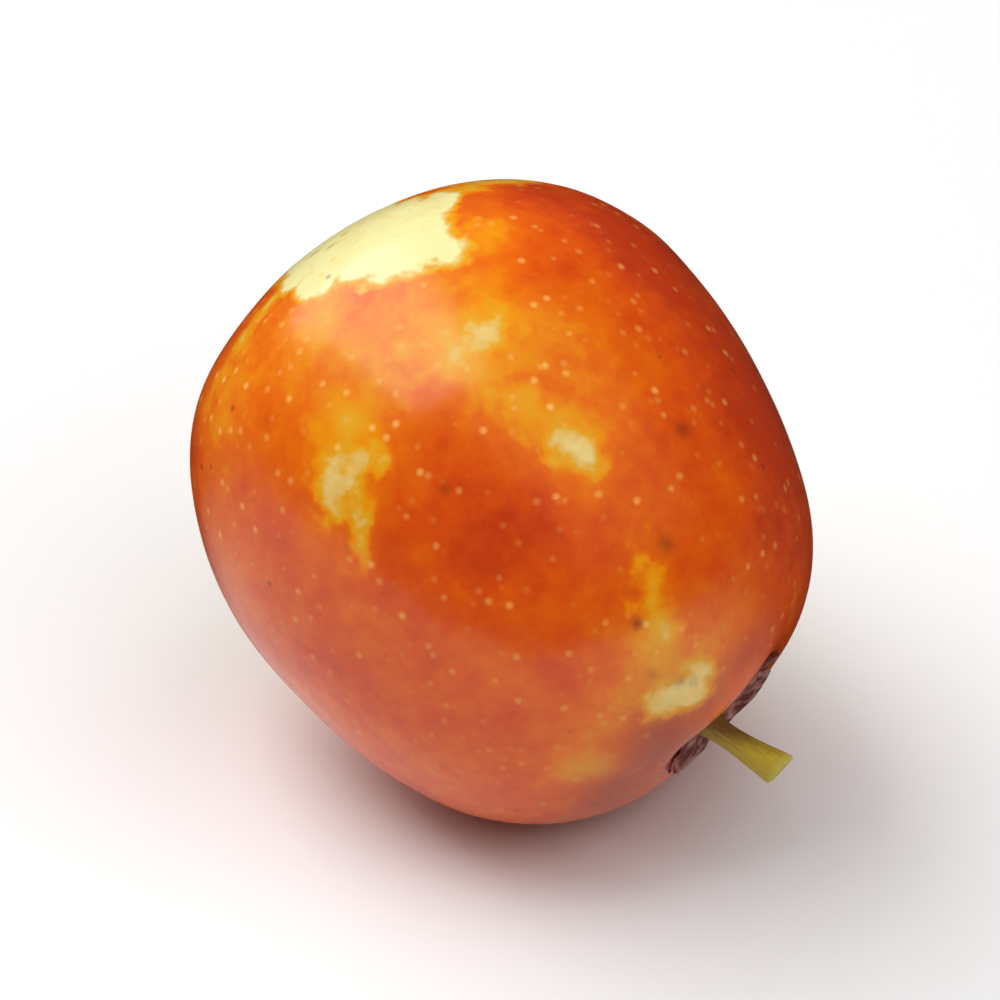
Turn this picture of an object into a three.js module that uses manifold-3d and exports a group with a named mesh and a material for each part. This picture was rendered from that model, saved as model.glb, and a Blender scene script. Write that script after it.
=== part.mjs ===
// A fresh jujube, picked with its stem, lying on a table with the stem end low.
// Three grown pieces: the fruit, the dry calyx disc in its stem hollow, and the stem.
// Millimetres, +Z up. The origin is the middle of the flat spot that the fruit rests on,
// and seen from above the stem points along +X.
import * as THREE from "three";
import { mergeVertices } from "three/addons/utils/BufferGeometryUtils.js";
import Module from "manifold-3d";

const wasm = await Module();
wasm.setup();

// The fruit's outline: two rounded halves that meet at the belly. With t from 0 at the belly to
// 1 at an end, the radius shrinks as (1 - t * t) ** roundness, so a smaller number is a blunter end
const LENGTH = 32.2;
const DIAMETER = 29.9;
const APEX_TO_BELLY = 13.9;
const APEX_ROUNDNESS = 0.45;
const STEM_ROUNDNESS = 0.34;

// The hollow that the stem stands in, and the dimple with a nub where the flower's style was
const HOLLOW_RADIUS = 5.6;
const HOLLOW_DEPTH = 1.7;
const DIMPLE_RADIUS = 3.2;
const DIMPLE_DEPTH = 0.7;
const NUB_RADIUS = 0.9;
const NUB_HEIGHT = 0.3;

// How the fruit departs from a turned shape: the belly leans to one side, its apex half further
// than its stem half, the section has three soft corners, and the underside of the stem half is
// flatter, which brings the weight over the spot it rests on. A longitude is counted from the level
// side that faces +Y when the fruit lies, by way of its upper side
const BELLY_LEAN = 1.05;
const HALVES_LEAN_APART = 2.15;
const LEAN_TOWARDS = degrees(0);
const CORNERS = { share: 0.008, lobes: 3, towards: degrees(60) };
const FLATTER = { height: 15, longitude: degrees(270), radius: 13, depth: 1.2 };

// How the fruit lies: the stem end dips below level, and the underside is pressed flat
const STEM_DIP = degrees(27.6);
const FLAT_DEPTH = 0.32;

// The calyx disc: a thin dish whose dry rim is torn into five lobes, and curls
const DISC_RADIUS = 4.1;
const DISC_THICKNESS = 0.6;
const RIM_THICKNESS = 0.45;
const RIM_TEARS = [
  { share: 0.07, lobes: 5, towards: degrees(7) },
  { share: 0.05, lobes: 8, towards: degrees(24) },
  { share: 0.03, lobes: 13, towards: degrees(3) },
];
const RIM_CURL = { height: 0.22, lobes: 5, towards: degrees(40) };

// The stem: its outline is a share of its length and the radius there, thinnest just above the
// foot and widest at the cut end
const STEM_LENGTH = 4.2;
const STEM_OUTLINE = [
  [0, 0.62],
  [0.14, 0.44],
  [0.45, 0.5],
  [0.78, 0.68],
  [1, 0.88],
];
const STEM_LEAN = degrees(14);
const STEM_LEAN_TOWARDS = degrees(43);
const STEM_OFF_CENTRE = 0.9;
const STEM_BEND = 0.35;
const STEM_TIP_SLANT = 0.45;

// Clear space between pieces that touch, and how finely the round shapes are divided
const GAP = 0.3;
const FRUIT_RINGS = 54;
const FRUIT_SIDES = 56;
const DISC_RINGS = 5;
const DISC_SIDES = 65;
const STEM_RINGS = 10;
const STEM_SIDES = 20;

const FRUIT_SKIN = new THREE.MeshStandardMaterial({ color: 0xcf5a1c, roughness: 0.32 });
const DRY_CALYX = new THREE.MeshStandardMaterial({ color: 0x3b201a, roughness: 0.8 });
const GREEN_STEM = new THREE.MeshStandardMaterial({ color: 0x9c8c2c, roughness: 0.6 });

function degrees(angle) {
  return THREE.MathUtils.degToRad(angle);
}

// A round dip that is deepest on the axis and runs out level at its rim
function dip(radius, rim, depth) {
  return radius < rim ? (depth * (1 + Math.cos((Math.PI * radius) / rim))) / 2 : 0;
}

// A wave round the axis, as a share of the radius
function wave({ share, lobes, towards }, longitude) {
  return share * Math.cos(lobes * (longitude - towards));
}

// In the fruit's own frame Y runs from the apex to the stem, with 0 at mid-length
const BELLY = APEX_TO_BELLY - LENGTH / 2;
const STEM_TO_BELLY = LENGTH - APEX_TO_BELLY;

// How far an end stands from the belly, as a share of its reach, at a distance from the axis
function endShare(radius, roundness) {
  return Math.sqrt(1 - (radius / (DIAMETER / 2)) ** (1 / roundness));
}

// Height of the stem end, with its hollow
function stemEnd(radius) {
  const hollow = dip(radius, HOLLOW_RADIUS, HOLLOW_DEPTH);
  return BELLY + STEM_TO_BELLY * endShare(radius, STEM_ROUNDNESS) - hollow;
}

// Height of the apex end, with its dimple and the nub in it
function apexEnd(radius) {
  const dimple = dip(radius, DIMPLE_RADIUS, DIMPLE_DEPTH) - dip(radius, NUB_RADIUS, NUB_HEIGHT);
  return BELLY - APEX_TO_BELLY * endShare(radius, APEX_ROUNDNESS) + dimple;
}

// The outline from the apex to the stem hollow, with its points an even distance apart
function fruitOutline() {
  const quarter = 200;
  const points = [];
  for (let i = 0; i <= 2 * quarter; i++) {
    const radius = (DIAMETER / 2) * Math.sin((Math.PI / 2) * (i / quarter));
    points.push(new THREE.Vector2(Math.max(radius, 0), i < quarter ? apexEnd(radius) : stemEnd(radius)));
  }
  const even = new THREE.SplineCurve(points).getSpacedPoints(FRUIT_RINGS);
  even[0].x = 0;
  even[FRUIT_RINGS].x = 0;
  return even;
}

// How far the lean puts the middle of a slice at this height off the axis
function leanAt(height) {
  const t = height / (LENGTH / 2);
  return (BELLY_LEAN - HALVES_LEAN_APART * t) * (1 - t * t);
}

// Moves every vertex of a turned shape by a rule of its radius, height and longitude
function reshape(geometry, rule) {
  const places = geometry.getAttribute("position");
  const place = new THREE.Vector3();
  for (let i = 0; i < places.count; i++) {
    place.fromBufferAttribute(places, i);
    rule(place, Math.hypot(place.x, place.z), Math.atan2(place.x, place.z));
    places.setXYZ(i, place.x, place.y, place.z);
  }
  return geometry;
}

// A vector square to the axis, towards a longitude
function outwards(longitude, length) {
  return new THREE.Vector3(Math.sin(longitude), 0, Math.cos(longitude)).multiplyScalar(length);
}

function fruitGeometry() {
  const turned = new THREE.LatheGeometry(fruitOutline(), FRUIT_SIDES);
  const flatter = outwards(FLATTER.longitude, DIAMETER / 2).setY(FLATTER.height);
  return reshape(turned, (place, radius, longitude) => {
    const pressed = dip(place.distanceTo(flatter), FLATTER.radius, FLATTER.depth);
    place.add(outwards(longitude, radius * wave(CORNERS, longitude) - pressed));
    place.add(outwards(LEAN_TOWARDS, leanAt(place.y)));
  });
}

// The dish follows the hollow a gap above it, and its rim is torn and curls up
function discGeometry() {
  const under = [];
  const over = [];
  for (let i = 0; i <= DISC_RINGS; i++) {
    const radius = (DISC_RADIUS * i) / DISC_RINGS;
    const floor = stemEnd(radius) + GAP;
    const thickness = THREE.MathUtils.lerp(DISC_THICKNESS, RIM_THICKNESS, i / DISC_RINGS);
    under.push(new THREE.Vector2(radius, floor));
    over.unshift(new THREE.Vector2(radius, floor + thickness));
  }
  const turned = new THREE.LatheGeometry([...under, ...over], DISC_SIDES);
  return reshape(turned, (place, radius, longitude) => {
    const out = radius / DISC_RADIUS;
    const torn = RIM_TEARS.reduce((sum, tear) => sum + wave(tear, longitude), 0) * out ** 2;
    const curl = (1 + Math.cos(RIM_CURL.lobes * (longitude - RIM_CURL.towards))) / 2;
    place.x *= 1 + torn;
    place.z *= 1 + torn;
    place.y += RIM_CURL.height * curl * out ** 4;
  });
}

// The stem is turned upright, then bent over and its end cut at a slant
function stemGeometry() {
  const knots = STEM_OUTLINE.map(([along, radius]) => new THREE.Vector2(radius, along * STEM_LENGTH));
  const side = new THREE.SplineCurve(knots).getSpacedPoints(STEM_RINGS);
  const foot = new THREE.Vector2(0, 0);
  const tip = new THREE.Vector2(0, STEM_LENGTH);
  const turned = new THREE.LatheGeometry([foot, ...side, tip], STEM_SIDES);
  const tipRadius = STEM_OUTLINE.at(-1)[1];
  return reshape(turned, (place) => {
    const along = place.y / STEM_LENGTH;
    place.y += STEM_TIP_SLANT * (place.x / tipRadius) * along ** 3;
    place.x += STEM_BEND * along ** 2;
  });
}

function solidOf(geometry) {
  const plain = geometry.clone();
  plain.deleteAttribute("normal");
  plain.deleteAttribute("uv");
  const merged = mergeVertices(plain, 1e-4);
  return new wasm.Manifold(
    new wasm.Mesh({
      numProp: 3,
      vertProperties: merged.getAttribute("position").array,
      triVerts: new Uint32Array(merged.index.array),
    }),
  );
}

function geometryOf(solid) {
  const mesh = solid.getMesh();
  const geometry = new THREE.BufferGeometry();
  geometry.setAttribute("position", new THREE.BufferAttribute(mesh.vertProperties, 3));
  geometry.setIndex(new THREE.BufferAttribute(mesh.triVerts, 1));
  geometry.computeVertexNormals();
  return geometry;
}

// Everything below the table's level is cut away, which leaves the flat spot at level 0
function cutFlat(geometry) {
  const size = 4 * LENGTH;
  const table = new THREE.BoxGeometry(size, size, size).translate(0, 0, -size / 2);
  return geometryOf(solidOf(geometry).subtract(solidOf(table)));
}

// Middle of the vertices that lie on the table
function flatMiddle(geometry) {
  const places = geometry.getAttribute("position");
  const flat = new THREE.Box3();
  const place = new THREE.Vector3();
  for (let i = 0; i < places.count; i++) {
    place.fromBufferAttribute(places, i);
    if (Math.abs(place.z) < 1e-5) flat.expandByPoint(place);
  }
  return flat.getCenter(new THREE.Vector3());
}

// The fruit's frame at rest: its X leans up, its Y is the way the stem points, its Z is level
const lying = new THREE.Matrix4().makeBasis(
  new THREE.Vector3(Math.sin(STEM_DIP), 0, Math.cos(STEM_DIP)),
  new THREE.Vector3(Math.cos(STEM_DIP), 0, -Math.sin(STEM_DIP)),
  new THREE.Vector3(0, 1, 0),
);
const whole = fruitGeometry().applyMatrix4(lying);
whole.computeBoundingBox();
const lift = -whole.boundingBox.min.z - FLAT_DEPTH;
const resting = cutFlat(whole.translate(0, 0, lift));
const middle = flatMiddle(resting);
resting.translate(-middle.x, -middle.y, 0);

const fruit = new THREE.Mesh(resting, FRUIT_SKIN);
fruit.name = "fruit";

const calyxDisc = new THREE.Mesh(discGeometry(), DRY_CALYX);
calyxDisc.name = "calyx_disc";
calyxDisc.position.copy(outwards(LEAN_TOWARDS, leanAt(stemEnd(0))));

const stem = new THREE.Mesh(stemGeometry(), GREEN_STEM);
stem.name = "stem";
const stemFoot = new THREE.Group();
const footRise = STEM_OUTLINE[0][1] * Math.sin(STEM_LEAN);
const discTop = stemEnd(STEM_OFF_CENTRE) + GAP + DISC_THICKNESS;
stemFoot.position.copy(outwards(STEM_LEAN_TOWARDS, -STEM_OFF_CENTRE)).setY(discTop + GAP + footRise);
stemFoot.rotation.set(0, STEM_LEAN_TOWARDS - Math.PI / 2, -STEM_LEAN, "YXZ");
stemFoot.add(stem);

const stemEndPieces = new THREE.Group();
stemEndPieces.applyMatrix4(lying);
stemEndPieces.position.set(-middle.x, -middle.y, lift);
stemEndPieces.add(calyxDisc, stemFoot);

const jujube = new THREE.Group();
jujube.add(fruit, stemEndPieces);

export default jujube;
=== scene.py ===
"""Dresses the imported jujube: its blushed waxy skin, the dry calyx disc and the cut stem, in a studio."""
import math
import random

import bpy
import numpy as np
from bpy.props import FloatProperty, FloatVectorProperty, PointerProperty
from mathutils import Matrix, Vector, noise


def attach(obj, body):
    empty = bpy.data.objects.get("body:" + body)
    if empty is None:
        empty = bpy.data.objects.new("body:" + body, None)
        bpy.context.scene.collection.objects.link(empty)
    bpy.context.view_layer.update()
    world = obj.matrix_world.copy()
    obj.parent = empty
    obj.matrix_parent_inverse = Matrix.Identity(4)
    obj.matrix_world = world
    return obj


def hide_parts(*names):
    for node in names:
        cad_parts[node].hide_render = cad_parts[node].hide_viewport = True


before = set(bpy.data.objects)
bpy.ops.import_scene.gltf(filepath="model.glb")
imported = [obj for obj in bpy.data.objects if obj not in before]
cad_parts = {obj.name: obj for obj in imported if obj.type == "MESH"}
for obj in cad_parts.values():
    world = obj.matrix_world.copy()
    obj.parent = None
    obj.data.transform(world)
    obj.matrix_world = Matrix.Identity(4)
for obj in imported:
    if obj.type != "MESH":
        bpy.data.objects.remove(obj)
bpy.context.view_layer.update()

bl_info = {
    "name": "Jujube",
    "version": (1, 0, 0),
    "blender": (4, 5, 0),
    "location": "3D view, sidebar, Jujube",
    "description": "A fresh jujube with its calyx disc and stem, on a studio floor",
    "category": "Object",
}

MM = 0.001


def linear(hex_colour):
    """Linear colour, with alpha, of an sRGB hex value."""
    shares = [int(hex_colour[i : i + 2], 16) / 255 for i in (1, 3, 5)]
    return (*[s / 12.92 if s <= 0.04045 else ((s + 0.055) / 1.055) ** 2.4 for s in shares], 1.0)


def per_mm(width):
    """Texture scale at which one cell of a pattern is this many millimetres wide."""
    return 1 / (width * MM)


# The fruit's own frame: the stem end points down by the dip, and longitudes start on the level side
STEM_DIP = math.radians(27.6)
STEMWARD = Vector((math.cos(STEM_DIP), 0, -math.sin(STEM_DIP)))
UPWARD = Vector((math.sin(STEM_DIP), 0, math.cos(STEM_DIP)))
LEVEL = Vector((0, 1, 0))
MIDDLE = Vector((-1.45, -0.33, 14.62)) * MM


def outward(longitude):
    """Direction square to the fruit's axis, towards a longitude in degrees."""
    turn = math.radians(longitude)
    return UPWARD * math.sin(turn) + LEVEL * math.cos(turn)


# Rays at the skin start this far off the fruit's axis, or from here, outside the stem hollow
CLEAR_OF_SKIN = 30 * MM
OVER_HOLLOW = MIDDLE + STEMWARD * 20 * MM


# Marks on the skin: height from mid-length towards the stem, longitude, half width, half length and
# the turn of the width from east towards the stem, in millimetres and degrees

# Skin that has not coloured yet, each patch with the sharpness of its edge and how ripe it is inside
PALE_PATCHES = [
    (-11.5, 93, 2.3, 3.1, 140, 1.4, 0.0),
    (-12.4, 104, 2.1, 1.9, 145, 1.4, 0.0),
    (-10.6, 106, 1.7, 0.8, 140, 1.4, 0.0),
    (-13.3, 116, 1.5, 1.4, 150, 1.4, 0.0),
    (-14.7, 115, 1.5, 1.1, 0, 1.4, 0.0),
    (-11.9, 78, 1.3, 2.2, 95, 1.5, 0.0),
    (-9.1, 95, 1.0, 1.0, 0, 1.5, 0.0),
    (-13.8, 87, 1.5, 1.6, 150, 1.4, 0.0),
    (-13.9, 98, 2.4, 1.5, 0, 1.4, 0.0),
    (-14.2, 106, 1.8, 1.1, 0, 1.4, 0.0),
    (-14.7, 133, 1.8, 0.35, 0, 1.0, 0.22),
    (-13.3, 84, 2.6, 1.6, 0, 1.4, 0.0),
    (-14.4, 74, 2.6, 1.6, 0, 1.4, 0.0),
    (-15.2, 98, 2.0, 1.5, 0, 1.4, 0.0),
    (-15.0, 94, 2.6, 1.6, 0, 1.4, 0.0),
    (-10.9, 58, 2.6, 0.7, -30, 0.7, 0.2),
    (-4.8, 107, 1.0, 0.7, 140, 0.8, 0.11),
    (-4.8, 115, 0.7, 0.35, 30, 0.8, 0.14),
    (-1.6, 115, 1.7, 0.4, 100, 0.6, 0.3),
    (2.7, 113, 1.0, 0.7, 105, 0.8, 0.1),
    (-4.8, 152, 1.4, 0.95, 30, 0.8, 0.1),
    (-3.0, 155, 0.6, 0.3, 45, 0.7, 0.16),
    (-5.1, 147, 0.9, 0.35, 140, 0.7, 0.14),
    (14.3, 139, 1.7, 1.05, 150, 1.2, 0.12),
    (14.4, 129, 0.6, 0.75, 0, 0.8, 0.14),
    (10.5, 125, 0.8, 0.25, 55, 0.7, 0.2),
    (11.6, 127, 0.7, 0.25, 80, 0.7, 0.22),
    (1.5, 300, 7.0, 8.5, 20, 1.2, 0.04),
    (-8.5, 285, 4.0, 3.6, 60, 1.2, 0.06),
    (8.0, 330, 3.0, 3.4, 0, 1.0, 0.08),
    (-3.0, 350, 1.6, 2.2, 40, 0.8, 0.1),
    (9.0, 262, 1.8, 1.4, 10, 0.8, 0.1),
    (-10.5, 320, 1.5, 1.1, 30, 0.8, 0.1),
    (-2.0, 12, 1.1, 0.8, 70, 0.8, 0.1),
    (-10.4, 297, 2.6, 1.5, 30, 1.2, 0.06),
    (-6.0, 271, 2.2, 1.4, -20, 1.2, 0.06),
    (9.8, 340, 1.8, 1.2, 20, 1.0, 0.08),
    (5.6, 338, 1.2, 1.8, 40, 1.0, 0.1),
    (-1.4, 355, 0.9, 1.0, 0, 0.8, 0.12),
    (8.6, 270, 1.2, 0.7, 50, 0.8, 0.12),
    (-9.6, 326, 1.0, 0.6, -30, 0.8, 0.12),
]

# Zones that are less or more ripe than the rest, each with its shift of the ripeness in its middle; two of
# them are partly painted shade
BLUSH_AND_SHADE_ZONES = [
    (-6.0, 112, 7.0, 4.2, 135, -0.3),
    (-0.5, 114, 4.0, 1.4, 100, -0.18),
    (2.5, 112, 2.2, 2.0, 0, -0.2),
    (-1.0, 99, 3.5, 3.5, 0, -0.06),
    (-12.0, 133, 3.2, 3.2, 0, -0.26),
    (-8.5, 86, 2.0, 2.0, 0, -0.25),
    (-5.0, 151, 2.2, 3.4, 135, -0.32),
    (-6.2, 140, 2.0, 1.6, 135, -0.2),
    (4.6, 119, 1.8, 1.8, 0, -0.14),
    (3.0, 138, 4.6, 2.6, 135, 0.2),
    # These two deepen the red along the upper far edge: partly the skin's own deep blush, partly painted
    # shade for the shade that falls along that edge
    (8.0, 64, 4.5, 7.5, 0, 0.32),
    (-4.0, 59, 4.5, 6.5, 0, 0.26),
    (13.4, 132, 3.5, 3.0, 135, -0.28),
    (11.0, 126, 1.2, 2.6, 135, -0.16),
    (12.5, 160, 2.2, 2.2, 0, -0.12),
    (13.4, 174, 2.4, 1.6, 115, -0.35),
    (-13.0, 168, 3.0, 4.0, 0, -0.2),
    (-8.0, 195, 3.0, 3.0, 0, -0.1),
    (-12.0, 60, 3.0, 2.2, 0, -0.3),
    (1.5, 300, 10.0, 11.0, 20, -0.4),
    (-8.5, 285, 6.5, 5.6, 60, -0.4),
    (8.0, 330, 5.0, 5.4, 0, -0.3),
    (-3.0, 350, 3.2, 4.0, 40, -0.3),
]
USUAL_RIPENESS = 0.75

# Painted shade beside the stem hollow, where the stem end and the floor shade the skin, each zone with its
# strength in the middle
PAINTED_SHADE_ZONES = [
    (15.2, 160, 4.0, 2.6, 0, 0.65),
    (14.8, 190, 4.0, 2.6, 0, 0.6),
    (15.4, 135, 3.0, 1.2, 0, 0.5),
    (15.3, 112, 3.0, 1.0, 0, 0.35),
]

# Small dark specks, each with its strength in the middle
SPECKS = [
    (-14.9, 101, 0.45, 0.15, 155, 0.6),
    (-14.4, 99, 0.3, 0.15, 155, 0.6),
    (10.8, 131, 0.3, 0.3, 0, 0.8),
    (14.0, 135, 0.3, 0.25, 20, 0.5),
    (14.4, 132, 0.3, 0.3, 0, 0.4),
    (12.9, 138, 0.25, 0.25, 0, 0.4),
    (5.8, 92, 0.5, 0.4, 0, 0.6),
    (9.2, 113, 0.4, 0.4, 0, 0.6),
    (-0.6, 137, 0.35, 0.35, 0, 0.5),
    (-2.0, 40, 0.4, 0.3, 0, 0.6),
    (3.0, 250, 0.4, 0.3, 30, 0.6),
    (-6.0, 20, 0.3, 0.3, 0, 0.6),
]

# The shoulder is a little fuller on one side of the hollow
FULL_SHOULDER = (15.4, 125, 4.5, 2.2, 0)
SHOULDER_RISE = 0.8 * MM

# Brown scars on the fruit's axis: height of the middle and reach
SCARS = ((-14.5, 1.3), (14.0, 3.4))


class FruitSettings(bpy.types.PropertyGroup):
    """Sizes and colours of the fruit's skin."""

    lump_width: FloatProperty(
        name="Lump width",
        description="Distance between the broad swellings of the skin",
        default=8 * MM,
        subtype="DISTANCE",
        unit="LENGTH",
    )
    lump_height: FloatProperty(
        name="Lump height",
        description="How far the skin rises and sinks over its swellings",
        default=0.25 * MM,
        subtype="DISTANCE",
        unit="LENGTH",
    )
    cream: FloatVectorProperty(
        name="Cream",
        description="Skin that has not coloured yet",
        default=linear("#EEE6A2"),
        size=4,
        subtype="COLOR",
    )
    tan: FloatVectorProperty(
        name="Tan",
        description="Skin of the small pale patches",
        default=linear("#E4BC68"),
        size=4,
        subtype="COLOR",
    )
    yellow: FloatVectorProperty(
        name="Yellow",
        description="Skin at the start of the turn",
        default=linear("#E5A420"),
        size=4,
        subtype="COLOR",
    )
    amber: FloatVectorProperty(
        name="Amber",
        description="Skin a third of the way through the turn",
        default=linear("#EC9108"),
        size=4,
        subtype="COLOR",
    )
    orange: FloatVectorProperty(
        name="Orange",
        description="Skin two thirds of the way through the turn",
        default=linear("#E66A08"),
        size=4,
        subtype="COLOR",
    )
    red: FloatVectorProperty(
        name="Red",
        description="Skin near the end of the turn",
        default=linear("#D94E0C"),
        size=4,
        subtype="COLOR",
    )
    russet: FloatVectorProperty(
        name="Russet",
        description="Skin that is fully ripe",
        default=linear("#C03810"),
        size=4,
        subtype="COLOR",
    )
    lenticel: FloatVectorProperty(
        name="Lenticels",
        description="The pale breathing pores",
        default=linear("#FFC464"),
        size=4,
        subtype="COLOR",
    )
    speck: FloatVectorProperty(
        name="Specks",
        description="The small brown specks",
        default=linear("#7A2A10"),
        size=4,
        subtype="COLOR",
    )
    # Colour of the painted shade beside the stem hollow, which stands in for the shade that falls there
    painted_shade_colour: FloatVectorProperty(
        name="Dusky",
        description="Dull skin beside the stem hollow",
        default=linear("#7E4038"),
        size=4,
        subtype="COLOR",
    )
    scar: FloatVectorProperty(
        name="Scars",
        description="The corky scars at the two ends",
        default=linear("#5A3A22"),
        size=4,
        subtype="COLOR",
    )


class CalyxSettings(bpy.types.PropertyGroup):
    """Sizes and colours of the dry calyx disc."""

    radius: FloatProperty(
        name="Radius",
        description="From the middle of the disc to its longest lobes",
        default=4.3 * MM,
        subtype="DISTANCE",
        unit="LENGTH",
    )
    thickness: FloatProperty(
        name="Thickness",
        description="Thickness of the dry tissue",
        default=0.14 * MM,
        subtype="DISTANCE",
        unit="LENGTH",
    )
    dark: FloatVectorProperty(
        name="Dark",
        description="The shrivelled tissue",
        default=linear("#66302A"),
        size=4,
        subtype="COLOR",
    )
    # Paler dry tissue, partly a painted highlight on the raised wrinkle ridges
    pale: FloatVectorProperty(
        name="Pale",
        description="Frayed edges and ridges",
        default=linear("#C48C80"),
        size=4,
        subtype="COLOR",
    )


class StemSettings(bpy.types.PropertyGroup):
    """Sizes and colours of the stem."""

    length: FloatProperty(
        name="Length",
        description="From the foot in the hollow to the cut end",
        default=5.25 * MM,
        subtype="DISTANCE",
        unit="LENGTH",
    )
    green: FloatVectorProperty(
        name="Green",
        description="The fresh bark",
        default=linear("#D0B83A"),
        size=4,
        subtype="COLOR",
    )
    brown: FloatVectorProperty(
        name="Brown",
        description="The bark at the foot",
        default=linear("#86602C"),
        size=4,
        subtype="COLOR",
    )
    cut: FloatVectorProperty(
        name="Cut",
        description="The cut end",
        default=linear("#C2B24A"),
        size=4,
        subtype="COLOR",
    )


class StageSettings(bpy.types.PropertyGroup):
    """The floor and the light."""

    floor: FloatVectorProperty(
        name="Floor",
        description="The pale floor",
        default=linear("#EDEDED"),
        size=4,
        subtype="COLOR",
    )
    key_power: FloatProperty(
        name="Key power",
        description="Power of the big soft box",
        default=6.0,
        unit="POWER",
    )
    spill_power: FloatProperty(
        name="Spill power",
        description="Power of the even light round the soft box",
        default=4.0,
        unit="POWER",
    )
    fill_power: FloatProperty(
        name="Fill power",
        description="Power of the fill beside the camera",
        default=8.2,
        unit="POWER",
    )
    room_light: FloatProperty(
        name="Room light",
        description="Strength of the even light from the room",
        default=0.06,
    )


def add(tree, kind, settings=None, inputs=None):
    """Adds a node with its settings; an input is a value, or the output that feeds it."""
    node = tree.nodes.new(kind)
    for name, value in (settings or {}).items():
        setattr(node, name, value)
    for socket, value in (inputs or {}).items():
        if isinstance(value, bpy.types.NodeSocket):
            tree.links.new(value, node.inputs[socket])
        else:
            node.inputs[socket].default_value = value
    return node


def new_material(name):
    """A new material and its empty node tree."""
    material = bpy.data.materials.new(name)
    material.use_nodes = True
    material.node_tree.nodes.clear()
    return material, material.node_tree


def edit(piece):
    """Goes into edit mode on one piece, with all of it selected."""
    bpy.ops.object.select_all(action="DESELECT")
    bpy.context.view_layer.objects.active = piece
    piece.select_set(True)
    bpy.ops.object.mode_set(mode="EDIT")
    bpy.ops.mesh.select_all(action="SELECT")


def settle(piece):
    """Leaves edit mode and puts the piece's place into its mesh."""
    bpy.ops.object.mode_set(mode="OBJECT")
    bpy.ops.object.transform_apply(location=True, rotation=True, scale=True)


def shape(piece, kind, **settings):
    """Adds a modifier with its settings and applies it."""
    modifier = piece.modifiers.new(kind.title(), kind)
    for name, value in settings.items():
        setattr(modifier, name, value)
    bpy.context.view_layer.objects.active = piece
    bpy.ops.object.modifier_apply(modifier=modifier.name)


def hand_over(piece, node, material):
    """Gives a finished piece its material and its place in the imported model."""
    bpy.ops.object.select_all(action="DESELECT")
    piece.select_set(True)
    bpy.ops.object.shade_smooth()
    piece.data.materials.clear()
    piece.data.materials.append(material)
    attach(piece, "root")
    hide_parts(node)


def on_skin(skin, height, longitude):
    """Place on the skin and the directions east, stemward and off it, as columns of a matrix."""
    towards = outward(longitude)
    start = MIDDLE + STEMWARD * height * MM + towards * CLEAR_OF_SKIN
    hit, place, off, _ = skin.ray_cast(start, -towards)
    if not hit:
        raise RuntimeError("the skin has no point at that height and longitude")
    stemward = (STEMWARD - off * STEMWARD.dot(off)).normalized()
    return place, Matrix((stemward.cross(off), stemward, off)).transposed()


def away_from(skin, places, height, longitude, half_width, half_length, turn):
    """Distance of each place from a mark on the skin, where 1 is the mark's edge."""
    middle, directions = on_skin(skin, height, longitude)
    turned = np.array(directions @ Matrix.Rotation(math.radians(turn), 3, "Z"))
    reach = np.array((half_width, half_length, max(half_width, half_length)))
    return np.linalg.norm((places - np.array(middle)) / MM @ turned / reach, axis=1)


def places_on(skin):
    """Places of all vertices, a row each."""
    places = np.empty(3 * len(skin.data.vertices))
    skin.data.vertices.foreach_get("co", places)
    return places.reshape(-1, 3)


def paint_marks(skin):
    """Writes down how ripe each vertex is, and where it lies from the patches, specks and scars."""
    places = places_on(skin)
    ripeness = np.full(len(places), USUAL_RIPENESS)
    for *zone, shift in BLUSH_AND_SHADE_ZONES:
        ripeness += shift * np.exp(-away_from(skin, places, *zone) ** 2)
    edge = np.full(len(places), np.inf)
    pale = np.zeros(len(places))
    for *patch, sharpness, ripe_inside in PALE_PATCHES:
        apart = (away_from(skin, places, *patch) - 1) * min(patch[2:4]) * sharpness
        pale = np.where(apart < edge, ripe_inside, pale)
        edge = np.minimum(edge, apart)
    scar = np.zeros(len(places))
    for height, reach in SCARS:
        apart = np.linalg.norm(places - np.array(MIDDLE + STEMWARD * height * MM), axis=1)
        scar = np.maximum(scar, np.exp(-((apart / MM / reach) ** 4)))
    marks = {"ripeness": ripeness, "pale_edge": edge, "pale_ripeness": pale, "scar": scar}
    # The painted shade zones are written down with the specks
    for name, zones in (("painted_shade", PAINTED_SHADE_ZONES), ("speck", SPECKS)):
        marks[name] = np.zeros(len(places))
        for *zone, strength in zones:
            shown = strength * np.exp(-away_from(skin, places, *zone) ** 2)
            marks[name] = np.maximum(marks[name], shown)
    for name, values in marks.items():
        skin.data.attributes.new(name, "FLOAT", "POINT").data.foreach_set("value", values)


# Patterns of the skin: width in millimetres of each mottling and its share of the ripeness, width of
# the patches' ragged edge and how far it wanders, and the other widths
MOTTLING = ((3.5, 0.4), (1.2, 0.32), (0.4, 0.12))
MOTTLING_IN_PATCHES = 0.4
RAGGED_WIDTH = 1.3
RAGGED_REACH = 2.2
PORE_SPACING = 1.05
SPECK_SPACING = 4.0
CORK_GRAIN = 0.5
UNEVEN_WIDTH = 1.6

# Heights that the light shows: the skin's unevenness and its pores
UNEVEN_HEIGHT = 0.03 * MM
PORE_HEIGHT = 0.006 * MM

# Pores are strongest above the second of these heights over the floor, and faint below the first: painted
# shade on the underside
PORES_FADE = (8 * MM, 18 * MM)


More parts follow.
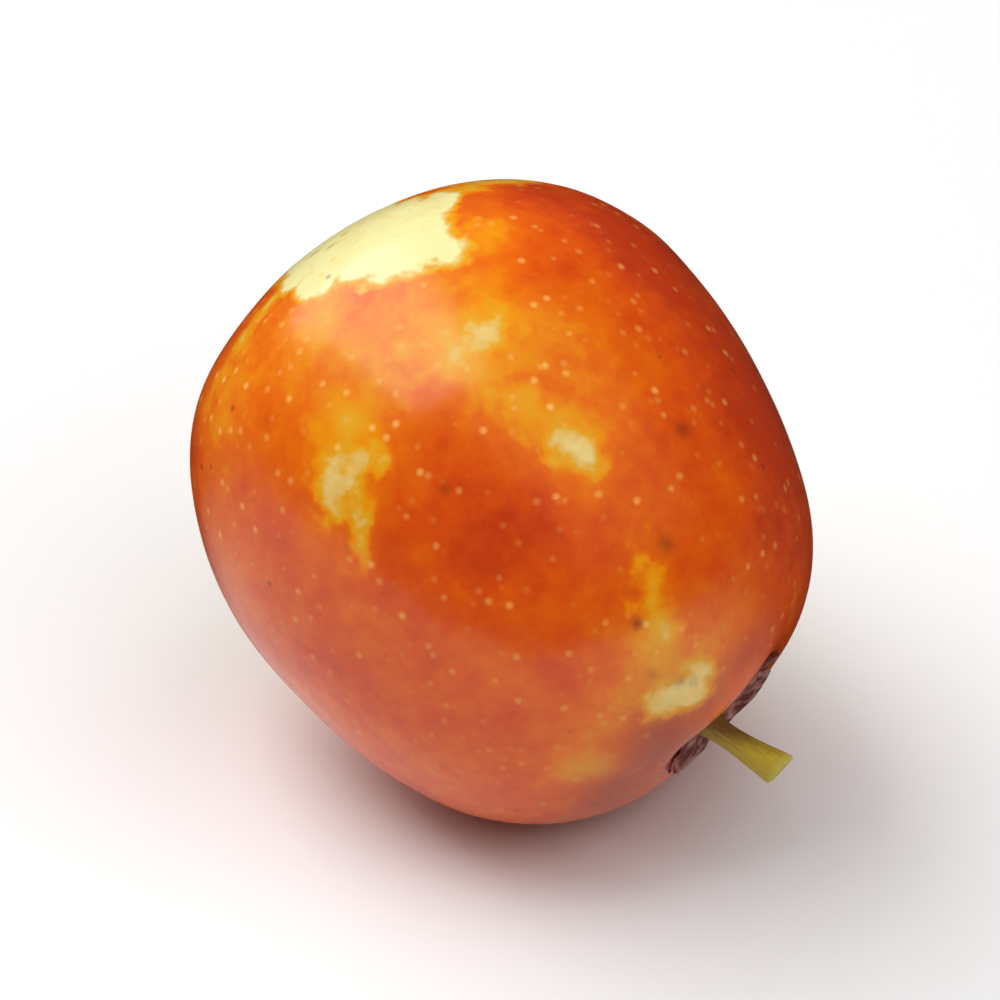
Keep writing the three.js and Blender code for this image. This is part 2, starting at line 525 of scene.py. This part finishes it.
def waxy_skin(settings):
    """Ripening jujube skin, grown smooth under a thin wax.

    The eye gets a soft gloss over a blush that runs from cream through orange to russet, with pale pores, a
    few brown specks and painted shade beside the stem hollow.
    """
    material, tree = new_material("jujube_skin_waxy")
    place = add(tree, "ShaderNodeTexCoord").outputs["Object"]
    marks = {}
    for name in ("ripeness", "pale_edge", "pale_ripeness", "painted_shade", "speck", "scar"):
        marks[name] = add(tree, "ShaderNodeAttribute", {"attribute_name": name}).outputs["Fac"]

    smooth = {"interpolation_type": "SMOOTHSTEP"}
    times = {"operation": "MULTIPLY"}
    minus = {"operation": "SUBTRACT"}
    times_plus = {"operation": "MULTIPLY_ADD"}
    blend = {"data_type": "RGBA"}

    # The blush is mottled broadly and finely, and less so inside the pale patches
    ripeness = marks["ripeness"]
    inside = marks["pale_ripeness"]
    for width, share in MOTTLING:
        mottle = add(tree, "ShaderNodeTexNoise", {}, {"Vector": place, "Scale": per_mm(width), "Detail": 3.0})
        centred = add(tree, "ShaderNodeMath", minus, {0: mottle.outputs[0], 1: 0.5}).outputs[0]
        ripeness = add(tree, "ShaderNodeMath", times_plus, {0: centred, 1: share, 2: ripeness}).outputs[0]
        fainter = MOTTLING_IN_PATCHES * share
        inside = add(tree, "ShaderNodeMath", times_plus, {0: centred, 1: fainter, 2: inside}).outputs[0]

    # The pale patches end in a ragged edge
    torn = add(tree, "ShaderNodeTexNoise", {}, {
        "Vector": place,
        "Scale": per_mm(RAGGED_WIDTH),
        "Detail": 2.0,
        "Roughness": 0.55,
    })
    centred = add(tree, "ShaderNodeMath", minus, {0: torn.outputs[0], 1: 0.5}).outputs[0]
    ragged = add(tree, "ShaderNodeMath", times_plus, {0: centred, 1: RAGGED_REACH, 2: marks["pale_edge"]})
    blushed = add(tree, "ShaderNodeMapRange", smooth, {
        "Value": ragged.outputs[0],
        "From Min": -0.5,
        "From Max": 0.75,
    })
    turned = add(tree, "ShaderNodeMix", {}, {"Factor": blushed.outputs[0], 2: inside, 3: ripeness})
    blush = add(tree, "ShaderNodeValToRGB", {}, {"Fac": turned.outputs[0]})
    stops = (
        (0.0, settings.cream),
        (0.14, settings.tan),
        (0.26, settings.yellow),
        (0.42, settings.amber),
        (0.6, settings.orange),
        (0.8, settings.red),
        (1.0, settings.russet),
    )
    ramp = blush.color_ramp.elements
    while len(ramp) < len(stops):
        ramp.new(0.5)
    for stop, (along, colour) in zip(ramp, stops):
        stop.position = along
        stop.color = colour

    # The painted shade beside the stem hollow darkens the skin but stays off the pale patches
    painted_shade = add(tree, "ShaderNodeMath", times, {0: marks["painted_shade"], 1: blushed.outputs[0]})
    with_painted_shade = add(tree, "ShaderNodeMix", blend, {
        "Factor": painted_shade.outputs[0],
        6: blush.outputs[0],
        7: settings.painted_shade_colour,
    }).outputs[2]

    # Pores show where a cell's middle lies near the skin, so they differ in size. Each cell has a strength
    # of its own, and pores are fainter on ripe skin, and painted fainter low down as painted shade
    pores = add(tree, "ShaderNodeTexVoronoi", {}, {"Vector": place, "Scale": per_mm(PORE_SPACING)})
    pore = add(tree, "ShaderNodeMapRange", smooth, {
        "Value": pores.outputs["Distance"],
        "From Min": 0.29,
        "From Max": 0.04,
    }).outputs[0]
    strength = add(tree, "ShaderNodeSeparateColor", {}, {0: pores.outputs["Color"]}).outputs[0]
    strength = add(tree, "ShaderNodeMapRange", {}, {
        "Value": strength,
        "To Min": 0.15,
        "To Max": 0.85,
    }).outputs[0]
    fading = add(tree, "ShaderNodeMapRange", {}, {
        "Value": ripeness,
        "From Min": 0.4,
        "From Max": 0.85,
        "To Min": 1.0,
        "To Max": 0.5,
    }).outputs[0]
    # Painted shade: the pores fade low down, on the underside
    height = add(tree, "ShaderNodeSeparateXYZ", {}, {0: place}).outputs["Z"]
    shaded = add(tree, "ShaderNodeMapRange", {}, {
        "Value": height,
        "From Min": PORES_FADE[0],
        "From Max": PORES_FADE[1],
        "To Min": 0.3,
        "To Max": 1.0,
    }).outputs[0]
    strength = add(tree, "ShaderNodeMath", times, {0: strength, 1: fading}).outputs[0]
    strength = add(tree, "ShaderNodeMath", times, {0: strength, 1: shaded}).outputs[0]
    shown = add(tree, "ShaderNodeMath", times, {0: pore, 1: strength}).outputs[0]
    pored = add(tree, "ShaderNodeMix", blend, {
        "Factor": shown,
        6: with_painted_shade,
        7: settings.lenticel,
    }).outputs[2]

    # Brown specks: a few scattered ones besides those that have their own place
    specks = add(tree, "ShaderNodeTexVoronoi", {}, {"Vector": place, "Scale": per_mm(SPECK_SPACING)})
    speck = add(tree, "ShaderNodeMapRange", smooth, {
        "Value": specks.outputs["Distance"],
        "From Min": 0.07,
        "From Max": 0.01,
        "To Max": 0.75,
    }).outputs[0]
    most = add(tree, "ShaderNodeMath", {"operation": "MAXIMUM"}, {0: speck, 1: marks["speck"]})
    specked = add(tree, "ShaderNodeMix", blend, {
        "Factor": most.outputs[0],
        6: pored,
        7: settings.speck,
    }).outputs[2]

    # The scars of the flower and of the stem are corky and break up at their edges
    cork = add(tree, "ShaderNodeTexNoise", {}, {"Vector": place, "Scale": per_mm(CORK_GRAIN), "Detail": 4.0})
    broken = add(tree, "ShaderNodeMath", {"operation": "ADD"}, {0: cork.outputs[0], 1: marks["scar"]})
    corky = add(tree, "ShaderNodeMapRange", smooth, {
        "Value": broken.outputs[0],
        "From Min": 0.85,
        "From Max": 1.2,
        "To Max": 0.9,
    }).outputs[0]
    coloured = add(tree, "ShaderNodeMix", blend, {
        "Factor": corky,
        6: specked,
        7: settings.scar,
    }).outputs[2]

    # The skin is a little uneven, and its pores stand up
    peel = add(tree, "ShaderNodeTexNoise", {}, {
        "Vector": place,
        "Scale": per_mm(UNEVEN_WIDTH),
        "Detail": 2.0,
    })
    uneven = add(tree, "ShaderNodeBump", {}, {
        "Height": peel.outputs[0],
        "Distance": UNEVEN_HEIGHT,
        "Strength": 1.0,
    })
    raised = add(tree, "ShaderNodeBump", {}, {
        "Height": pore,
        "Distance": PORE_HEIGHT,
        "Strength": 1.0,
        "Normal": uneven.outputs[0],
    })
    shader = add(tree, "ShaderNodeBsdfPrincipled", {}, {
        "Base Color": coloured,
        "Roughness": 0.22,
        "IOR": 1.45,
        "Normal": raised.outputs[0],
    })
    add(tree, "ShaderNodeOutputMaterial", {}, {"Surface": shader.outputs[0]})
    return material


class JUJUBE_OT_fruit(bpy.types.Operator):
    """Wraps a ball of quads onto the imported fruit, smooths it and gives it its skin"""

    bl_idname = "jujube.fruit"
    bl_label = "Fruit"

    def execute(self, context):
        settings = context.scene.jujube_fruit
        ball_radius = 20 * MM
        bpy.ops.object.select_all(action="DESELECT")
        bpy.ops.mesh.primitive_cube_add(size=2 * ball_radius, location=MIDDLE)
        skin = context.object
        skin.name = skin.data.name = "fruit_skin"
        edit(skin)
        bpy.ops.mesh.subdivide(number_cuts=27)
        bpy.ops.object.mode_set(mode="OBJECT")
        shape(skin, "CAST", factor=1.0, radius=0.0, size=ball_radius, use_radius_as_size=False)
        shape(skin, "SUBSURF", levels=1, render_levels=1)
        settle(skin)
        shape(
            skin,
            "SHRINKWRAP",
            target=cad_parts["fruit"],
            wrap_method="PROJECT",
            use_negative_direction=True,
            use_positive_direction=False,
        )
        shape(skin, "SMOOTH", factor=0.5, iterations=5)
        shape(skin, "SUBSURF", levels=1, render_levels=1)
        lumps = bpy.data.textures.new("skin_lumps", "CLOUDS")
        lumps.noise_scale = settings.lump_width
        lumps.noise_depth = 1
        shape(skin, "DISPLACE", texture=lumps, strength=settings.lump_height, texture_coords="LOCAL")
        fuller = np.exp(-away_from(skin, places_on(skin), *FULL_SHOULDER) ** 2)
        for vertex, share in zip(skin.data.vertices, fuller):
            vertex.co += STEMWARD * SHOULDER_RISE * float(share)
            vertex.co.z = max(vertex.co.z, 0)
        skin.data.update()
        context.view_layer.update()
        paint_marks(skin)
        hand_over(skin, "fruit", waxy_skin(settings))
        return {"FINISHED"}


# Wrinkles of the dry tissue: width in millimetres, and depth
WRINKLE_WIDTH = 0.6
WRINKLE_DEPTH = 0.15 * MM


def dry_calyx(settings):
    """Shrivelled flower tissue, dried in the sun.

    The eye gets a dull dark brown that breaks into paler frayed edges and wrinkles, partly a painted
    highlight on the raised ridges.
    """
    material, tree = new_material("calyx_dry")
    place = add(tree, "ShaderNodeTexCoord").outputs["Object"]
    wrinkles = add(tree, "ShaderNodeTexNoise", {}, {
        "Vector": place,
        "Scale": per_mm(WRINKLE_WIDTH),
        "Detail": 4.0,
    })
    # The raised wrinkles turn pale: partly paler dry tissue, partly a painted highlight on their ridges
    frayed = add(tree, "ShaderNodeMapRange", {}, {
        "Value": wrinkles.outputs[0],
        "From Min": 0.42,
        "From Max": 0.74,
    }).outputs[0]
    coloured = add(tree, "ShaderNodeMix", {"data_type": "RGBA"}, {
        "Factor": frayed,
        6: settings.dark,
        7: settings.pale,
    }).outputs[2]
    raised = add(tree, "ShaderNodeBump", {}, {"Height": wrinkles.outputs[0], "Distance": WRINKLE_DEPTH})
    shader = add(tree, "ShaderNodeBsdfPrincipled", {}, {
        "Base Color": coloured,
        "Roughness": 0.75,
        "Specular IOR Level": 0.2,
        "Normal": raised.outputs[0],
    })
    add(tree, "ShaderNodeOutputMaterial", {}, {"Surface": shader.outputs[0]})
    return material


# Each ring of the disc is this share of the ring outside it
RING_SHARES = (0.95, 0.94, 0.92, 0.9, 0.88, 0.85, 0.8, 0.7, 0.6, 0.4)

# The disc has lost most tissue on the side towards this longitude, up to this share of its radius
WORN_TOWARDS = 133
WORN_SHARE = 0.5

# Its tears fall at random, with half widths in degrees and depths as shares of the radius from these
TEARS = 11
TEAR_SEED = 7
TEAR_HALF_WIDTHS = (5, 14)
TEAR_DEPTHS = (0.08, 0.3)
FRAYED_SHARE = 0.06

# Rises over the hollow's floor in millimetres: all of it, its rim, its creases and a collar round the stem
CALYX_LIFT = 0.06
RIM_CURL = 0.14
CREASE = 0.12
COLLAR = 0.5
COLLAR_RADIUS = 1.5
COLLAR_SPREAD = 0.4


def wander(place, width):
    """Noise about 0 that changes over this many millimetres."""
    return noise.noise(place / (width * MM))


class JUJUBE_OT_calyx(bpy.types.Operator):
    """Lays a torn, curled disc of dry tissue in the stem hollow"""

    bl_idname = "jujube.calyx"
    bl_label = "Calyx disc"

    def execute(self, context):
        settings = context.scene.jujube_calyx
        skin = bpy.data.objects["fruit_skin"]
        bpy.ops.object.select_all(action="DESELECT")
        bpy.ops.mesh.primitive_circle_add(
            vertices=120,
            radius=settings.radius,
            location=OVER_HOLLOW,
            rotation=STEMWARD.to_track_quat("Z", "Y").to_euler(),
        )
        disc = context.object
        disc.name = disc.data.name = "calyx_disc_dry"
        edit(disc)
        for ring_share in RING_SHARES:
            bpy.ops.mesh.extrude_edges_indiv()
            bpy.ops.transform.resize(value=(ring_share,) * 3, center_override=OVER_HOLLOW)
        bpy.ops.mesh.merge(type="CENTER")
        settle(disc)
        torn = random.Random(TEAR_SEED)
        tears = []
        for _ in range(TEARS):
            tears.append((torn.uniform(0, 360), torn.uniform(*TEAR_HALF_WIDTHS), torn.uniform(*TEAR_DEPTHS)))
        for vertex in disc.data.vertices:
            arm = vertex.co - OVER_HOLLOW
            out = arm.length / settings.radius
            bearing = math.degrees(math.atan2(arm.dot(UPWARD), arm.dot(LEVEL)))
            lost = 0
            for towards, half_width, depth in tears:
                apart = abs((bearing - towards + 180) % 360 - 180) / half_width
                lost += depth * max(0, 1 - apart) ** 0.6
            frayed = FRAYED_SHARE * wander(arm, 0.5)
            narrowed = WORN_SHARE * max(0, math.cos(math.radians(bearing - WORN_TOWARDS))) ** 2
            arm *= 1 - (lost + frayed) * out**2 - narrowed * out
            _, floor, _, _ = skin.ray_cast(OVER_HOLLOW + arm, -STEMWARD)
            curl = RIM_CURL * max(0, 0.4 + wander(arm, 2.0)) * out**3
            crease = CREASE * wander(arm, 0.5)
            off_collar = (arm.length / MM - COLLAR_RADIUS) / COLLAR_SPREAD
            collar = COLLAR * math.exp(-(off_collar**2)) * max(0, wander(arm, 0.8))
            vertex.co = floor + STEMWARD * MM * (CALYX_LIFT + curl + crease + collar)
        shape(disc, "SOLIDIFY", thickness=settings.thickness, offset=1.0)
        shape(disc, "SUBSURF", levels=1, render_levels=1)
        edit(disc)
        bpy.ops.mesh.normals_make_consistent(inside=False)
        settle(disc)
        hand_over(disc, "calyx_disc", dry_calyx(settings))
        return {"FINISHED"}


# The stem leans off the fruit's axis towards this longitude, and its foot stands off the middle
STEM_LEAN = math.radians(6.5)
STEM_LEAN_TOWARDS = 43
STEM_OFF_CENTRE = 1.0 * MM
STEM_SIDE = outward(STEM_LEAN_TOWARDS)
STEM_UP = (STEMWARD * math.cos(STEM_LEAN) + STEM_SIDE * math.sin(STEM_LEAN)).normalized()
STEM_ACROSS = STEM_UP.cross(STEM_SIDE).normalized()

# Half thickness of the stem in millimetres, at shares of its length
STEM_OUTLINE = (
    (0, 1.0),
    (0.12, 0.8),
    (0.25, 0.64),
    (0.4, 0.6),
    (0.58, 0.64),
    (0.78, 0.76),
    (0.93, 0.88),
    (1, 0.92),
)

# The stem bends to its side, its end is cut at a slant, and the cut dries to a dish inside two rims
STEM_BEND = 0.2 * MM
CUT_SLANT = 0.12 * MM
CUT_RIMS = (0.12 * MM, 0.2 * MM)
CUT_DISH = 0.12 * MM

# Ridges along the stem: how many go round it, where they start in radians, and their rise as a share
# of its half thickness
RIDGES = ((5, 1.0, 0.05), (3, 0, 0.04))

# Fibres of the bark: width and length, and how deep the light shows them
FIBRE_WIDTH = 0.12 * MM
FIBRE_LENGTH = 1.44 * MM
FIBRE_DEPTH = 0.06 * MM


def green_stem(foot, settings):
    """Fresh stem, cut with a blade.

    The eye gets fine fibres along it, brown at the foot and yellow-green further up, and a paler cut.
    """
    material, tree = new_material("stem_fresh_cut")
    place = add(tree, "ShaderNodeTexCoord").outputs["Object"]
    turned = Matrix((STEM_ACROSS.cross(STEM_UP), STEM_ACROSS, STEM_UP)).transposed().to_euler()
    along = add(tree, "ShaderNodeMapping", {"vector_type": "TEXTURE"}, {
        "Vector": place,
        "Location": foot,
        "Rotation": turned,
        "Scale": (settings.length,) * 3,
    })
    parted = add(tree, "ShaderNodeSeparateXYZ", {}, {0: along.outputs[0]})
    share = parted.outputs["Z"]
    fibres = add(tree, "ShaderNodeMapping", {"vector_type": "TEXTURE"}, {
        "Vector": place,
        "Rotation": turned,
        "Scale": (FIBRE_WIDTH, FIBRE_WIDTH, FIBRE_LENGTH),
    })
    fibre = add(tree, "ShaderNodeTexNoise", {}, {"Vector": fibres.outputs[0], "Scale": 1.0, "Detail": 2.0})
    ragged = add(tree, "ShaderNodeMath", {"operation": "MULTIPLY_ADD"}, {
        0: fibre.outputs[0],
        1: 0.3,
        2: share,
    })
    # The side that faces up stays brown further along
    sunned = add(tree, "ShaderNodeMath", {"operation": "MULTIPLY_ADD"}, {
        0: parted.outputs["X"],
        1: -1.8,
        2: ragged.outputs[0],
    })
    bark = add(tree, "ShaderNodeValToRGB", {}, {"Fac": sunned.outputs[0]})
    ends = bark.color_ramp.elements
    ends[0].position = 0.42
    ends[0].color = settings.brown
    ends[1].position = 0.85
    ends[1].color = settings.green
    streaked = add(tree, "ShaderNodeMix", {"data_type": "RGBA", "blend_type": "MULTIPLY"}, {
        "Factor": 0.3,
        6: bark.outputs[0],
        7: fibre.outputs[0],
    }).outputs[2]
    cut = add(tree, "ShaderNodeMapRange", {}, {"Value": share, "From Min": 0.95, "From Max": 0.97}).outputs[0]
    ended = add(tree, "ShaderNodeMix", {"data_type": "RGBA"}, {
        "Factor": cut,
        6: streaked,
        7: settings.cut,
    }).outputs[2]
    raised = add(tree, "ShaderNodeBump", {}, {"Height": fibre.outputs[0], "Distance": FIBRE_DEPTH})
    shader = add(tree, "ShaderNodeBsdfPrincipled", {}, {
        "Base Color": ended,
        "Roughness": 0.5,
        "Normal": raised.outputs[0],
    })
    add(tree, "ShaderNodeOutputMaterial", {}, {"Surface": shader.outputs[0]})
    return material


class JUJUBE_OT_stem(bpy.types.Operator):
    """Draws the stem up from its foot in the hollow to its slanted cut end"""

    bl_idname = "jujube.stem"
    bl_label = "Stem"

    def execute(self, context):
        settings = context.scene.jujube_stem
        skin = bpy.data.objects["fruit_skin"]
        hit, foot, _, _ = skin.ray_cast(OVER_HOLLOW - STEM_SIDE * STEM_OFF_CENTRE, -STEMWARD)
        if not hit:
            raise RuntimeError("the stem finds no hollow to stand in")
        bpy.ops.object.select_all(action="DESELECT")
        bpy.ops.mesh.primitive_circle_add(
            vertices=20,
            radius=STEM_OUTLINE[0][1] * MM,
            fill_type="NGON",
            location=foot,
            rotation=STEM_UP.to_track_quat("Z", "Y").to_euler(),
        )
        stem = context.object
        stem.name = stem.data.name = "stem_cut"
        edit(stem)
        centre = foot
        radius = STEM_OUTLINE[0][1]
        for share, next_radius in STEM_OUTLINE[1:]:
            next_centre = foot + STEM_UP * settings.length * share + STEM_SIDE * STEM_BEND * share**2
            bpy.ops.mesh.extrude_region()
            bpy.ops.transform.translate(value=next_centre - centre)
            bpy.ops.transform.resize(value=(next_radius / radius,) * 3, center_override=next_centre)
            centre, radius = next_centre, next_radius
        for rim in CUT_RIMS:
            bpy.ops.mesh.inset(thickness=rim)
        bpy.ops.transform.translate(value=-STEM_UP * CUT_DISH)
        bpy.ops.mesh.poke()
        settle(stem)
        for vertex in stem.data.vertices:
            arm = vertex.co - foot
            share = arm.dot(STEM_UP) / settings.length
            across = arm.dot(STEM_SIDE) - STEM_BEND * share**2
            bearing = math.atan2(arm.dot(STEM_ACROSS), across)
            ridge = sum(rise * math.cos(count * bearing + begin) for count, begin, rise in RIDGES)
            spoke = STEM_SIDE * across + STEM_ACROSS * arm.dot(STEM_ACROSS)
            slant = CUT_SLANT * (across / (STEM_OUTLINE[-1][1] * MM)) * share**3
            vertex.co += spoke * ridge + STEM_UP * slant
        shape(stem, "SUBSURF", levels=3, render_levels=3)
        edit(stem)
        bpy.ops.mesh.normals_make_consistent(inside=False)
        settle(stem)
        hand_over(stem, "stem", green_stem(foot, settings))
        return {"FINISHED"}


# The camera looks down on the fruit from beside the stem; its frame is this wide where the fruit is
VIEW_AZIMUTH = math.radians(33.88)
VIEW_ELEVATION = math.radians(35)
VIEW_MIDDLE = Vector((-1.4, 0.0, 15.0)) * MM
VIEW_WIDTH = 51.2 * MM
LENS = 300.0
SENSOR = 36.0
VIEW_RIGHT = Vector((math.cos(VIEW_AZIMUTH), math.sin(VIEW_AZIMUTH), 0))
VIEW_AWAY = Vector((-math.sin(VIEW_AZIMUTH), math.cos(VIEW_AZIMUTH), 0))
UP = Vector((0, 0, 1))


def point_at(thing, target):
    """Turns a camera or a light to face a place."""
    thing.rotation_euler = (target - thing.location).to_track_quat("-Z", "Y").to_euler()


def soft_box(name, direction, distance, wide, tall, power, turn=0):
    """A soft box facing the fruit, where the direction is to the camera's right, away from it and up."""
    light = bpy.data.lights.new(name, "AREA")
    light.shape = "RECTANGLE"
    light.size = wide
    light.size_y = tall
    light.energy = power
    box = bpy.data.objects.new(name, light)
    bpy.context.scene.collection.objects.link(box)
    towards = VIEW_RIGHT * direction[0] + VIEW_AWAY * direction[1] + UP * direction[2]
    box.location = VIEW_MIDDLE + towards.normalized() * distance
    point_at(box, VIEW_MIDDLE)
    box.rotation_euler.rotate_axis("Z", math.radians(turn))
    return box


# The dark card is part of a cone that opens upwards, and reaches between these bearings from behind the
# fruit, to the camera's right. It thins out on both sides of its middle between two bearings, and each
# millimetre up moves them on
CARD_HEIGHT = 36 * MM
CARD_FOOT_RADIUS = 11 * MM
CARD_TOP_RADIUS = 48 * MM
CARD_ENDS = (-140, 160)
CARD_MIDDLE = math.radians(16)
CARD_THINS = (math.radians(69), math.radians(104))
CARD_THINS_LATER = math.radians(1.6) / MM
CARD_COLOUR = linear("#2A1A10")


def glare_card():
    """A dark card round the back of the fruit, which only keeps the floor's glare off its far edge."""
    bpy.ops.object.select_all(action="DESELECT")
    bpy.ops.mesh.primitive_cone_add(
        vertices=72,
        radius1=CARD_FOOT_RADIUS,
        radius2=CARD_TOP_RADIUS,
        depth=CARD_HEIGHT,
        end_fill_type="NOTHING",
        location=(VIEW_MIDDLE.x, VIEW_MIDDLE.y, CARD_HEIGHT / 2),
    )
    card = bpy.context.object
    card.name = card.data.name = "glare_card"
    edit(card)
    bpy.ops.mesh.subdivide(number_cuts=5)
    bpy.ops.mesh.select_mode(type="FACE")
    bpy.ops.mesh.select_all(action="DESELECT")
    bpy.ops.object.mode_set(mode="OBJECT")
    for face in card.data.polygons:
        bearing = math.degrees(math.atan2(face.center.dot(VIEW_RIGHT), face.center.dot(VIEW_AWAY)))
        face.select = not CARD_ENDS[0] < bearing < CARD_ENDS[1]
    bpy.ops.object.mode_set(mode="EDIT")
    bpy.ops.mesh.delete(type="FACE")
    settle(card)
    material, tree = new_material("card_dark_felt")
    # The card thins out sideways, sooner low down, so that its ends leave no line on the fruit
    place = add(tree, "ShaderNodeTexCoord").outputs["Object"]
    right = add(tree, "ShaderNodeVectorMath", {"operation": "DOT_PRODUCT"}, {0: place, 1: VIEW_RIGHT})
    away = add(tree, "ShaderNodeVectorMath", {"operation": "DOT_PRODUCT"}, {0: place, 1: VIEW_AWAY})
    bearing = add(tree, "ShaderNodeMath", {"operation": "ARCTAN2"}, {
        0: right.outputs["Value"],
        1: away.outputs["Value"],
    }).outputs[0]
    turned = add(tree, "ShaderNodeMath", {"operation": "SUBTRACT"}, {0: bearing, 1: CARD_MIDDLE})
    aside = add(tree, "ShaderNodeMath", {"operation": "ABSOLUTE"}, {0: turned.outputs[0]}).outputs[0]
    height = add(tree, "ShaderNodeSeparateXYZ", {}, {0: place}).outputs["Z"]
    reached = add(tree, "ShaderNodeMath", {"operation": "MULTIPLY_ADD"}, {
        0: height,
        1: -CARD_THINS_LATER,
        2: aside,
    })
    thinned = add(tree, "ShaderNodeMapRange", {"interpolation_type": "SMOOTHSTEP"}, {
        "Value": reached.outputs[0],
        "From Min": CARD_THINS[0],
        "From Max": CARD_THINS[1],
    })
    felt = add(tree, "ShaderNodeBsdfPrincipled", {}, {"Base Color": CARD_COLOUR, "Roughness": 0.9})
    clear = add(tree, "ShaderNodeBsdfTransparent")
    shader = add(tree, "ShaderNodeMixShader", {}, {
        "Fac": thinned.outputs[0],
        1: felt.outputs[0],
        2: clear.outputs[0],
    })
    add(tree, "ShaderNodeOutputMaterial", {}, {"Surface": shader.outputs[0]})
    card.data.materials.append(material)
    card.visible_camera = False
    card.visible_diffuse = False
    card.visible_shadow = False


FLOOR_WIDTH = 4.0


class JUJUBE_OT_stage(bpy.types.Operator):
    """Sets up the floor, the soft light and the camera"""

    bl_idname = "jujube.stage"
    bl_label = "Stage"

    def execute(self, context):
        settings = context.scene.jujube_stage
        bpy.ops.object.select_all(action="DESELECT")
        bpy.ops.mesh.primitive_plane_add(size=FLOOR_WIDTH)
        floor = context.object
        floor.name = floor.data.name = "studio_floor"
        material, tree = new_material("studio_paper")
        shader = add(tree, "ShaderNodeBsdfPrincipled", {}, {"Base Color": settings.floor, "Roughness": 0.8})
        add(tree, "ShaderNodeOutputMaterial", {}, {"Surface": shader.outputs[0]})
        floor.data.materials.append(material)
        glare_card()

        world = bpy.data.worlds.new("studio_room")
        world.use_nodes = True
        room = world.node_tree.nodes["Background"]
        room.inputs["Color"].default_value = linear("#FFFFFF")
        room.inputs["Strength"].default_value = settings.room_light
        context.scene.world = world
        soft_box(
            "key_soft_box",
            direction=(-0.5, 0.28, 0.8),
            distance=0.9,
            wide=1.35,
            tall=0.55,
            power=settings.key_power,
            turn=48,
        )
        # The spill round the key and the fill by the camera leave no sheen of their own
        spill = soft_box(
            "key_spill",
            direction=(-0.58, 0.36, 0.74),
            distance=0.9,
            wide=1.35,
            tall=0.9,
            power=settings.spill_power,
            turn=25,
        )
        spill.visible_glossy = False
        fill = soft_box(
            "front_fill",
            direction=(0.35, -0.35, 0.87),
            distance=1.0,
            wide=1.2,
            tall=1.2,
            power=settings.fill_power,
        )
        fill.visible_glossy = False

        camera = bpy.data.objects.new("photo_view", bpy.data.cameras.new("photo_view"))
        context.scene.collection.objects.link(camera)
        camera.data.lens = LENS
        camera.data.sensor_width = SENSOR
        back = UP * math.sin(VIEW_ELEVATION) - VIEW_AWAY * math.cos(VIEW_ELEVATION)
        camera.location = VIEW_MIDDLE + back * VIEW_WIDTH * LENS / SENSOR
        point_at(camera, VIEW_MIDDLE)
        context.scene.camera = camera
        context.scene.view_settings.view_transform = "Standard"
        return {"FINISHED"}


class JUJUBE_PT_panel(bpy.types.Panel):
    """Lists the pieces and their settings"""

    bl_idname = "JUJUBE_PT_panel"
    bl_label = "Jujube"
    bl_space_type = "VIEW_3D"
    bl_region_type = "UI"
    bl_category = "Jujube"

    def draw(self, context):
        for name in GROUPS:
            settings = getattr(context.scene, f"jujube_{name}")
            column = self.layout.column()
            column.operator(f"jujube.{name}")
            for key in settings.bl_rna.properties.keys():
                if key not in ("rna_type", "name"):
                    column.prop(settings, key)


GROUPS = {
    "fruit": FruitSettings,
    "calyx": CalyxSettings,
    "stem": StemSettings,
    "stage": StageSettings,
}
CLASSES = (
    *GROUPS.values(),
    JUJUBE_OT_fruit,
    JUJUBE_OT_calyx,
    JUJUBE_OT_stem,
    JUJUBE_OT_stage,
    JUJUBE_PT_panel,
)


def register():
    """Registers the classes and hangs the settings on the scene."""
    for piece in CLASSES:
        bpy.utils.register_class(piece)
    for name, group in GROUPS.items():
        setattr(bpy.types.Scene, f"jujube_{name}", PointerProperty(type=group))


def unregister():
    """Takes the settings and the classes away again."""
    for name in GROUPS:
        delattr(bpy.types.Scene, f"jujube_{name}")
    for piece in reversed(CLASSES):
        bpy.utils.unregister_class(piece)


def main():
    """Builds every piece in order."""
    register()
    bpy.ops.jujube.fruit()
    bpy.ops.jujube.calyx()
    bpy.ops.jujube.stem()
    bpy.ops.jujube.stage()


if __name__ == "__main__":
    main()
